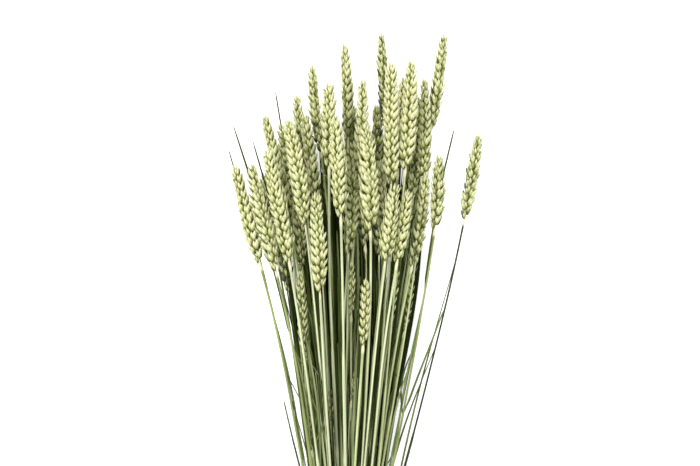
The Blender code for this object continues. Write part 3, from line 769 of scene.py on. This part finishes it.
# Wheat leaf: a thin blade dried in the bunch, so it is dull, with parallel veins, blue-green where it dried
# fast and straw where it dried last. Its veins are 0.4 mm apart, drawn at 1 mm so that they show.
def wheat_leaf(settings):
    material, tree, shader = new_material("dried_wheat_leaf", 0.75, 0.2)
    place = add_node(tree, "ShaderNodeAttribute", attribute_name="place").outputs["Vector"]
    tone = add_node(tree, "ShaderNodeAttribute", attribute_name="tone").outputs["Fac"]
    veins = drawn_out_noise(tree, place, (repeats(1.0), 0.0, repeats(110.0)))
    patches = drawn_out_noise(tree, place, (repeats(7.0), 0.0, repeats(50.0)))
    shade = add_node(tree, "ShaderNodeMath", {1: 0.35}, {0: patches, 2: tone}, operation="MULTIPLY_ADD")
    # Its darkest colours, which the leaves at the underside take from their tone, are painted shade.
    body = add_node(
        tree,
        "ShaderNodeValToRGB",
        links={"Fac": shade.outputs[0]},
        stops=(
            (0.08, "#1E2A04"),
            (0.3, "#36450D"),
            (0.5, settings.fresh),
            (0.75, "#9CA878"),
            (1.0, "#C3C89A"),
        ),
    )
    veined = tinted(tree, body.outputs["Color"], veins, 0.8, ((0.4, "#65743F"), (0.56, "#FFFFFF")))
    finish_surface(tree, shader, veined, veins, 0.4, 0.3 * MM)
    return material


# Jute twine: two hairy plies, spun from coarse brown fibre, so it is dull and the fibres follow the twist.
# They are 0.05 mm thick and drawn in strands of 0.2 mm so that they show.
def jute_twine(settings):
    material, tree, shader = new_material("jute_twine", 0.85)
    place = add_node(tree, "ShaderNodeAttribute", attribute_name="place").outputs["Vector"]
    fibres = drawn_out_noise(tree, place, (repeats(0.2), repeats(0.2), repeats(2.0)), 4.0)
    body = add_node(
        tree,
        "ShaderNodeValToRGB",
        links={"Fac": fibres},
        stops=((0.25, "#6E5230"), (0.5, settings.twine_colour), (0.75, "#C9AC7B")),
    )
    finish_surface(tree, shader, body.outputs["Color"], fibres, 0.8, 0.6 * MM)
    return material


# Matt white acrylic: a cast sheet with a sanded face, lit faintly from inside as a product table is, so that
# shadows on it stay weak. Its grain is 0.3 mm, drawn at 3 mm.
def light_table(settings):
    material, tree, shader = new_material("matt_white_acrylic", 0.9)
    place = add_node(tree, "ShaderNodeTexCoord").outputs["Object"]
    grain = add_node(
        tree, "ShaderNodeTexNoise", {"Scale": repeats(3.0, 1000.0), "Detail": 2.0}, {"Vector": place}
    )
    finish_surface(tree, shader, None, grain.outputs["Fac"], 0.05, 0.1 * MM)
    shader.inputs["Base Color"].default_value = tuple(settings.floor_colour) + (1.0,)
    shader.inputs["Emission Color"].default_value = (1.0, 1.0, 1.0, 1.0)
    shader.inputs["Emission Strength"].default_value = settings.table_glow
    return material


def colour_property(name, description, hex_colour):
    """A colour that a user would change, with its default as sRGB hex."""
    return FloatVectorProperty(
        name=name,
        description=description,
        subtype="COLOR",
        size=3,
        min=0.0,
        max=1.0,
        default=linear(hex_colour)[:3],
    )


def size_property(name, description, millimetres):
    """A length that a user would change, with its default in mm."""
    return FloatProperty(
        name=name, description=description, default=millimetres * MM, min=0.0, unit="LENGTH"
    )


class WheatEarSettings(bpy.types.PropertyGroup):
    spikelet_pitch: size_property("Spikelet pitch", "Distance between spikelets on one side", 8.2)
    pale: colour_property("Scale tip", "Colour of the scales near their tips", "#D9DBB6")
    # The scale root colour is painted shade in the grooves between the scales, over their own green.
    groove: colour_property("Scale root", "Colour of the scales in the grooves between them", "#27330A")


class WheatStemSettings(bpy.types.PropertyGroup):
    bare_width: size_property("Bare stem width", "Thickness of the stem under its ear", 2.2)
    sheath_width: size_property("Sheath width", "Thickness of the stem where a leaf sheath wraps it", 3.0)
    bloom: colour_property("Bloom", "Colour of the stem where its waxy bloom is thick", "#C8D19A")


class WheatLeafSettings(bpy.types.PropertyGroup):
    leaves: IntProperty(
        name="Leaves", description="Dried leaf blades along each stem", default=5, min=0, max=9
    )
    blade_width: size_property("Blade width", "Widest part of a rolled leaf between the stems", 2.6)
    under_leaves: IntProperty(
        name="Under leaves", description="Leaves on each stem at the underside", default=9, min=0, max=12
    )
    under_width: size_property("Under leaf width", "Widest part of a broad leaf at the underside", 9.0)
    fresh: colour_property("Leaf colour", "Colour of a leaf that dried fast", "#718044")


class JuteTwineSettings(bpy.types.PropertyGroup):
    thickness: size_property("Twine thickness", "Thickness of the twine", 2.3)
    ply_pitch: size_property("Ply pitch", "Length of one twist of the two plies", 6.5)
    tail: size_property("Tail length", "Length of the twine's two ends after the knot", 26.0)
    twine_colour: colour_property("Twine colour", "Colour of the jute fibres", "#A9895A")


class WheatStudioSettings(bpy.types.PropertyGroup):
    floor_colour: colour_property("Floor colour", "Colour of the table top", "#FAFAFA")
    table_glow: FloatProperty(
        name="Table glow", description="Light from inside the white table", default=0.45, min=0.0
    )
    key_power: FloatProperty(
        name="Key light", description="Power of the soft light above", default=37.0, min=0.0, unit="POWER"
    )
    fill_power: FloatProperty(
        name="Fill light", description="Power of the light from the side", default=5.0, min=0.0, unit="POWER"
    )
    sky: FloatProperty(
        name="Surroundings", description="Brightness of the room around the table", default=1.1, min=0.0
    )
    camera_height: size_property("Camera height", "Height of the camera above the ears", 4000.0)


# Which dried leaves are which. Outlying stems stand apart at the sides of the bunch, with fewer leaves, and
# far out ones with fewest. The lowest row of stems lies on the table.
OUTLYING = 62 * MM
FAR_OUT = 90 * MM
OUTLYING_LEAVES, FAR_OUT_LEAVES = 5, 3
LOWEST_ROW = 15 * MM
INWARD_SHARE = 0.6

# Where dried leaves begin and end. Roots are spread over a share of the stem from just above the tie. The
# rest are ranges in mm: how far the tip lies past the ear's root, how long the leaf is, and how far under
# the roof line it ends. Pairs of ranges are for leaves with even and with odd numbers.
LEAVES_ABOVE_TIE = 4 * MM
ROOT_STRAY = 0.9
ROOT_SHARE, UNDER_ROOT_SHARE = 0.62, 0.95
PAST_EAR, UNDER_PAST_EAR, LOWEST_PAST_EAR = (5, 40), (95, 170), (80, 140)
OUTLYING_PAST_EAR = ((-150, -60), (-70, -20))
OUTLYING_UNDER_PAST_EAR = 60
LEAF_LENGTH, UNDER_LEAF_LENGTH = (170, 280), (190, 320)
BELOW_ROOF = (0, 20)
SHORTEST_LEAF = 60 * MM

# How dried leaves lie, as ranges in mm: how far they drift aside of their stem and sink behind it.
DRIFT = (0.5, 8.0)
APART_DRIFT = ((7.0, 18.0), (2.5, 9.0))
SINK, UNDER_SINK = (1.0, 9.0), (-1.0, 4.0)
SINK_BEHIND_EAR = (9.0, 14.0)
ROLLED_UNDER_SINK = (-8.0, -4.0)
LEAF_LEAST_Z = 0.8 * MM

# What dried leaves look like: width, fold, twist and tone. Rolled ones are dark and bright in turn; the dark
# ones stand partly as painted shade between the stems, and the leaves at the underside are painted dark as
# shade.
LEAF_STEPS = 13
WIDTH_SIZES = (0.7, 1.25)
APART_WIDTH = (2.0, 2.6)
LEAST_WIDTH, OUTLYING_LEAST_WIDTH = 0.8 * MM, 1.2 * MM
ROLLED_FOLD, BROAD_FOLD = (0.6, 1.3), 0.25
ROLLED_TAPER, BROAD_TAPER = 4, 8
TWIST_PLAY = 0.6
OUTLYING_TWIST = 0.3
BROAD_SHADE_TONE, DARK_TONE, BRIGHT_TONE, APART_TONE = (-0.18, 0.0), (-0.06, 0.24), (0.5, 1.1), (0.2, 0.6)


def leaf_ends(stalk, index, count, outlying, draw):
    """Heights at which a dried leaf leaves its stem and ends."""
    under = stalk.number > LAST_SHOWN
    low = TIE_BOX[1][1] + LEAVES_ABOVE_TIE
    root_share = UNDER_ROOT_SHARE if under else ROOT_SHARE
    start = low + (index + draw.uniform(0.0, ROOT_STRAY)) / count * root_share * (stalk.ear_low - low)
    past_ear = draw.uniform(*PAST_EAR)
    if under:
        on_table = stalk.line.at(stalk.ear_low).z <= LOWEST_ROW
        past_ear = draw.uniform(*(LOWEST_PAST_EAR if on_table else UNDER_PAST_EAR))
    if outlying:
        past_ear = draw.uniform(*OUTLYING_PAST_EAR[index % 2])
        if under:
            past_ear = OUTLYING_UNDER_PAST_EAR
    length = draw.uniform(*(UNDER_LEAF_LENGTH if under else LEAF_LENGTH))
    finish = min(start + length * MM, stalk.ear_low + past_ear * MM)
    from_middle = abs(stalk.line.at(finish).x - MIDDLE_X)
    roof = ROOF - ROOF_SLOPE * max(0.0, from_middle - ROOF_HALF_WIDTH)
    return start, min(finish, roof - draw.uniform(*BELOW_ROOF) * MM)


def dried_leaves(shape, patterns, stalk, settings, draw):
    """Dried leaf blades that lie along the stem: broad ones at the underside, narrow rolled ones above."""
    line = stalk.line
    under = stalk.number > LAST_SHOWN
    base = line.at(stalk.ear_low)
    outlying = abs(base.x - MIDDLE_X) > OUTLYING
    apart = outlying and not under
    inward = -1 if base.x > 0 else 1
    count = settings.under_leaves if under else settings.leaves
    if apart:
        count = FAR_OUT_LEAVES if base.x > FAR_OUT else OUTLYING_LEAVES
    for index in range(count):
        start, finish = leaf_ends(stalk, index, count, outlying, draw)
        if finish - start < SHORTEST_LEAF:
            continue
        rolled = not under or index % 3 == 1
        way = inward if outlying or draw.random() < INWARD_SHARE else -inward
        drift = way * draw.uniform(*DRIFT) * MM
        sink = draw.uniform(*(UNDER_SINK if under else SINK)) * MM
        if finish > stalk.ear_low and not under:
            sink = draw.uniform(*SINK_BEHIND_EAR) * MM
        broad = (settings.blade_width if rolled else settings.under_width) * draw.uniform(*WIDTH_SIZES)
        if apart:
            broad = draw.uniform(*APART_WIDTH) * MM
            drift = way * draw.uniform(*APART_DRIFT[index % 2]) * MM
        if under and rolled:
            sink = draw.uniform(*ROLLED_UNDER_SINK) * MM
        fold = draw.uniform(*ROLLED_FOLD) if rolled else BROAD_FOLD
        # Painted shade: leaves at the underside are dark, and dark rolled ones above fill the gaps between
        # the stems.
        tone = draw.uniform(*BROAD_SHADE_TONE)
        if rolled:
            tone = draw.uniform(*(BRIGHT_TONE if index % 2 and not under else DARK_TONE))
        if apart:
            tone = draw.uniform(*APART_TONE)
        least = OUTLYING_LEAST_WIDTH if outlying else LEAST_WIDTH
        points, widths = [], []
        for step in range(LEAF_STEPS + 1):
            share = step / LEAF_STEPS
            centre = line.at(start + share * (finish - start))
            ease = math.sin(share * math.pi / 2)
            bow = math.sin(share * math.pi) if outlying else ease
            points.append((centre.x + drift * bow, centre.y, max(LEAF_LEAST_Z, centre.z - sink * ease)))
            taper = 1 - share ** (ROLLED_TAPER if rolled else BROAD_TAPER)
            widths.append(max(least, broad * min(1.0, 0.35 + 3 * share) * taper))
        twist = draw.uniform(-TWIST_PLAY, TWIST_PLAY) * (OUTLYING_TWIST if outlying else 1.0)
        grow_leaf(shape, patterns, points, widths, tone, fold, twist)


# Tones of a stalk. Its depth runs from 0 deep in the bunch to 1 at the top, and outer from 0 at the middle
# of the bunch to 1 at its sides. Stems and ears are painted darker the deeper they lie, and stems the
# farther out they stand, as painted shade, with a tone that differs at random on top; stems and blades of
# the stalks that lie under the others are painted dark, as shade.
STALK_SEED = 100
DEEPEST_Z, DEPTH = 8 * MM, 70 * MM
HALF_BUNCH = 100 * MM
STEM_TONE, STEM_DEPTH_SHADE_RISE, STEM_TONES = 0.1, 0.75, (-0.2, 0.3)
UNDER_STEM_SHADE_TONES = (-0.2, 0.1)
EAR_DEPTH_SHADE_RISE, EAR_TONES = 0.8, (0.03, 0.14)
BLADE_TONES, UNDER_BLADE_SHADE_TONE = (0.1, 0.4), 0.0


class WHEAT_OT_grow_stalks(bpy.types.Operator):
    """Grows a stem with its ear and leaves over each stalk of the bunch"""

    bl_idname = "wheat.grow_stalks"
    bl_label = "Grow stalks"

    def execute(self, context):
        scene = context.scene
        patterns = Patterns()
        finishes = (
            wheat_straw(scene.wheat_stem),
            wheat_chaff(scene.wheat_ear),
            wheat_leaf(scene.wheat_leaf),
        )
        for name in STALKS:
            stalk = Stalk(name)
            draw = random.Random(STALK_SEED + stalk.number)
            base = stalk.line.at(stalk.ear_low)
            depth = min(1.0, max(0.0, (base.z - DEEPEST_Z) / DEPTH))
            outer = min(1.0, abs(base.x) / HALF_BUNCH) ** 2
            shape = bmesh.new()
            add_layers(shape)
            # Painted shade: the stem and the ear are darker the deeper they lie in the bunch, and the stem
            # the farther out it stands; stems under the others are dark all over.
            stem_tone = STEM_TONE + STEM_DEPTH_SHADE_RISE * depth * (1 - outer) + draw.uniform(*STEM_TONES)
            if stalk.number > LAST_SHOWN:
                stem_tone = draw.uniform(*UNDER_STEM_SHADE_TONES)
            ear_tone = EAR_DEPTH_SHADE_RISE * depth ** 2.2 + draw.uniform(*EAR_TONES)
            grow_stem(shape, patterns, stalk, scene.wheat_stem, draw, stem_tone)
            grow_ear(shape, patterns, stalk, scene.wheat_ear, draw, ear_tone)
            for blade in stalk.blades:
                points, widths = ribbon_from_blade(blade, stalk)
                # Painted shade: blades of the stalks under the others take the darkest tone.
                tone = UNDER_BLADE_SHADE_TONE if stalk.number > LAST_SHOWN else draw.uniform(*BLADE_TONES)
                grow_leaf(shape, patterns, points, widths, tone)
            dried_leaves(shape, patterns, stalk, scene.wheat_leaf, draw)
            piece = new_piece(name.replace("stalk", "wheat"), shape, finishes)
            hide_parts(name)
        patterns.clear()
        return {"FINISHED"}


# The twine's mesh, and how much of its radius the two plies add to its core.
TWINE_SIDES = 10
TWINE_RING_STEP = 1.1 * MM
TWINE_LOOK = 0.6 * MM
TWINE_CORE, PLY_SWELL = 0.78, 0.22
TURN_STEPS = 48

# The knot on the crown of the tie, and how its two ends run: out to the sides, along the stems and down, by
# a drop in mm for each mm out squared.
KNOT_PLACE = (1 * MM, 0.0, 1.2 * MM)
KNOT_SIZE = 1.35 * MM
KNOT_STEPS = 40
KNOT_OPENING = 0.35
KNOT_TWINE_SIZE = 0.95
TAIL_STEPS = 11
TAIL_OUT, TAIL_ALONG, TAIL_DROP = 0.9, 0.35, 0.012


def twine_tube(shape, points, radius, ply_pitch):
    """Two twisted plies along a line of points."""
    points = np.array(points)
    spans = np.linalg.norm(np.diff(points, axis=0), axis=1)
    reach = np.concatenate([[0.0], np.cumsum(spans)])
    length = reach[-1]
    rings = max(6, int(length / TWINE_RING_STEP))
    tube = straight_tube(TWINE_SIDES, rings)
    added = stamp(shape, tube, Matrix.Identity(4), 0.0)
    bpy.data.meshes.remove(tube)
    place = shape.verts.layers.float_vector["place"]

    def at(distance):
        return Vector([np.interp(distance, reach, points[:, axis]) for axis in range(3)])

    for vert in added:
        distance = vert.co.z * length
        ahead = (at(min(length, distance + TWINE_LOOK)) - at(max(0.0, distance - TWINE_LOOK))).normalized()
        side = Vector((0, 1, 0)) if abs(ahead.y) < 0.8 else Vector((1, 0, 0))
        side = (side - ahead * side.dot(ahead)).normalized()
        up = side.cross(ahead)
        angle = math.atan2(vert.co.y, vert.co.x)
        twist = 2 * math.pi * distance / ply_pitch
        swell = radius * (TWINE_CORE + PLY_SWELL * abs(math.cos(angle - twist)))
        vert[place] = (math.cos(angle - twist), math.sin(angle - twist), distance / MM)
        vert.co = at(distance) + (side * math.cos(angle) + up * math.sin(angle)) * swell


def wound_turns(low, high, thickness):
    """The middle line of the twine that fills a box with turns side by side, from one end to the other."""
    middle = (low + high) / 2
    radius = thickness / 2
    round_radius = (high.x - low.x) / 2 - radius
    turns = round((high.y - low.y) / thickness) - 0.5
    steps = int(turns * TURN_STEPS)
    wound = []
    for step in range(steps + 1):
        share = step / steps
        angle = math.pi / 2 + share * turns * 2 * math.pi
        x = middle.x + round_radius * math.cos(angle)
        y = low.y + radius + share * (high.y - low.y - 2 * radius)
        z = middle.z + round_radius * math.sin(angle)
        wound.append((x, y, z))
    return wound


def knot_with_tails(crown, tail_length):
    """The middle line of a knot with three lobes, with the twine's end at each side."""
    knot = []
    for step in range(KNOT_STEPS + 1):
        turn = KNOT_OPENING + (2 * math.pi - 2 * KNOT_OPENING) * step / KNOT_STEPS
        x = (math.sin(turn) + 2 * math.sin(2 * turn)) * KNOT_SIZE
        y = (math.cos(turn) - 2 * math.cos(2 * turn)) * KNOT_SIZE
        z = -0.9 * math.sin(3 * turn) * KNOT_SIZE
        knot.append(crown + Vector((x, y, z)))
    for end, before, sign in ((0, 1, 1), (-1, -2, -1)):
        leaving = (knot[end] - knot[before]).normalized()
        tail = []
        for step in range(1, TAIL_STEPS + 1):
            out = step / TAIL_STEPS * tail_length
            drop = -TAIL_DROP * (out / MM) ** 2 * MM
            tail.append(knot[end] + Vector((sign * out * TAIL_OUT, leaving.y * out * TAIL_ALONG, drop)))
        knot = tail[::-1] + knot if end == 0 else knot + tail
    return knot


class WHEAT_OT_wind_twine(bpy.types.Operator):
    """Winds jute twine round the stems and knots it on top"""

    bl_idname = "wheat.wind_twine"
    bl_label = "Wind twine"

    def execute(self, context):
        settings = context.scene.jute_twine
        low, high = Vector(TIE_BOX[0]), Vector(TIE_BOX[1])
        middle = (low + high) / 2
        radius = settings.thickness / 2
        crown = Vector((middle.x, middle.y, high.z)) + Vector(KNOT_PLACE)
        shape = bmesh.new()
        add_layers(shape)
        twine_tube(shape, wound_turns(low, high, settings.thickness), radius, settings.ply_pitch)
        knot = knot_with_tails(crown, settings.tail)
        twine_tube(shape, knot, radius * KNOT_TWINE_SIZE, settings.ply_pitch)
        piece = new_piece("twine_tie", shape, [jute_twine(settings)])
        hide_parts("tie")
        return {"FINISHED"}


# The studio, in metres: two round soft lights that face the middle of the bunch, and a table under it all.
LIGHTS_FACE = (0.0, 0.1, 0.05)
KEY_PLACE, KEY_SIZE = (-0.9, 0.7, 2.0), 1.6
FILL_PLACE, FILL_SIZE = (1.1, -0.1, 1.6), 1.2
TABLE_HALF_WIDTH = 4.0

# The camera looks straight down, and its picture covers this width of the plane that the ears lie in.
VIEW_WIDTH = 700 * MM
VIEW_MIDDLE = (-4.345 * MM, 138.97 * MM)
EAR_PLANE_Z = 60 * MM
SENSOR_WIDTH_MM = 36.0
FARTHEST_SEEN = 20.0


def add_light(name, place, size, power):
    """A round soft light that faces the middle of the bunch."""
    lamp = bpy.data.lights.new(name, "AREA")
    lamp.shape = "DISK"
    lamp.size = size
    lamp.energy = power
    light = bpy.data.objects.new(name, lamp)
    light.location = place
    light.rotation_euler = (Vector(LIGHTS_FACE) - Vector(place)).to_track_quat("-Z", "Y").to_euler()
    bpy.context.scene.collection.objects.link(light)


class WHEAT_OT_set_studio(bpy.types.Operator):
    """Sets the white table, the soft lights, and the camera straight above the bunch"""

    bl_idname = "wheat.set_studio"
    bl_label = "Set studio"

    def execute(self, context):
        settings = context.scene.wheat_studio
        scene = context.scene
        shape = bmesh.new()
        bmesh.ops.create_grid(shape, x_segments=8, y_segments=8, size=TABLE_HALF_WIDTH)
        mesh = keep_mesh(shape, "table_top")
        mesh.materials.append(light_table(settings))
        table = bpy.data.objects.new("table_top", mesh)
        scene.collection.objects.link(table)
        world = bpy.data.worlds.new("white_room")
        world.use_nodes = True
        tree = world.node_tree
        direction = add_node(tree, "ShaderNodeTexCoord").outputs["Generated"]
        height = add_node(tree, "ShaderNodeSeparateXYZ", links={0: direction}).outputs["Z"]
        room = add_node(
            tree,
            "ShaderNodeValToRGB",
            links={"Fac": height},
            stops=((0.0, "#FFFFFF"), (0.7, "#FFFFFF"), (1.0, "#B0B0B0")),
        )
        tree.links.new(room.outputs["Color"], tree.nodes["Background"].inputs["Color"])
        tree.nodes["Background"].inputs["Strength"].default_value = settings.sky
        scene.world = world
        add_light("key_light", KEY_PLACE, KEY_SIZE, settings.key_power)
        add_light("fill_light", FILL_PLACE, FILL_SIZE, settings.fill_power)
        camera = bpy.data.cameras.new("camera")
        camera.sensor_width = SENSOR_WIDTH_MM
        camera.lens = SENSOR_WIDTH_MM * settings.camera_height / VIEW_WIDTH
        camera.clip_end = FARTHEST_SEEN
        viewer = bpy.data.objects.new("camera", camera)
        viewer.location = VIEW_MIDDLE + (EAR_PLANE_Z + settings.camera_height,)
        scene.collection.objects.link(viewer)
        scene.camera = viewer
        scene.view_settings.view_transform = "Standard"
        return {"FINISHED"}


class WHEAT_PT_bunch(bpy.types.Panel):
    """The sizes and colours of the bunch, and the steps that make it"""

    bl_idname = "WHEAT_PT_bunch"
    bl_label = "Bunch of wheat ears"
    bl_space_type = "VIEW_3D"
    bl_region_type = "UI"
    bl_category = "Wheat"

    def draw(self, context):
        for group, _ in SETTINGS:
            box = self.layout.box()
            values = getattr(context.scene, group)
            for name in values.__annotations__:
                box.prop(values, name)
        for step in STEPS:
            self.layout.operator(step.bl_idname)


SETTINGS = (
    ("wheat_ear", WheatEarSettings),
    ("wheat_stem", WheatStemSettings),
    ("wheat_leaf", WheatLeafSettings),
    ("jute_twine", JuteTwineSettings),
    ("wheat_studio", WheatStudioSettings),
)
STEPS = (WHEAT_OT_grow_stalks, WHEAT_OT_wind_twine, WHEAT_OT_set_studio)


def register():
    for name, group in SETTINGS:
        bpy.utils.register_class(group)
        setattr(bpy.types.Scene, name, PointerProperty(type=group))
    for kind in STEPS + (WHEAT_PT_bunch,):
        bpy.utils.register_class(kind)


def unregister():
    for kind in reversed(STEPS + (WHEAT_PT_bunch,)):
        bpy.utils.unregister_class(kind)
    for name, group in reversed(SETTINGS):
        delattr(bpy.types.Scene, name)
        bpy.utils.unregister_class(group)


def main():
    """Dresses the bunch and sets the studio."""
    register()
    bpy.ops.wheat.grow_stalks()
    bpy.ops.wheat.wind_twine()
    bpy.ops.wheat.set_studio()
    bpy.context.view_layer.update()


if __name__ == "__main__":
    main()
